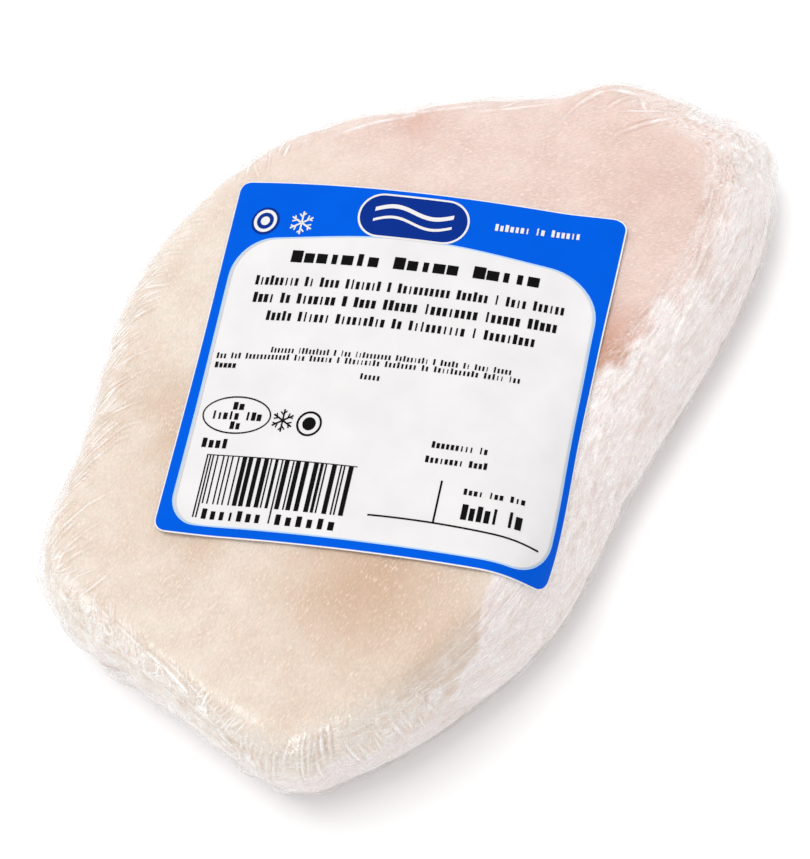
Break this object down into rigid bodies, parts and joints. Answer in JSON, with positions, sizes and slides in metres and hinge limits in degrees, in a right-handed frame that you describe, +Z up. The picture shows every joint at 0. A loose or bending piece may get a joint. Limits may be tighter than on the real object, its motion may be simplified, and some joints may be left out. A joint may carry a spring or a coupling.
{
  "type": "frozen hake steak in clear film with a label",
  "caption": "Thick frozen slab of white fish, wrapped tight in clear crinkled film, with a square paper label stuck on its top face.",
  "frame": {"origin": "middle of the slab's bounding rectangle, on its flat underside", "axes": "+Z up out of the labelled top face, X along the slab's length, -Y out of its long slanting side"},
  "size_m": [0.1377, 0.0972, 0.0271],
  "materials": {
    "wrapped_fish": "pale peach frozen fish flesh, frosted at the sides, under clear glossy crinkled film",
    "film": "clear glossy cling film, pulled tight, with fine creases and gathers",
    "label_paper": "white coated label paper with a satin face",
    "label_blue": "bright blue ink on the coated label paper",
    "label_black": "black thermal print on the coated label paper"
  },
  "bodies": {
    "root": {"wrapped_steak": "wrapped_fish", "label": "label_paper"}
  },
  "joints": []
}
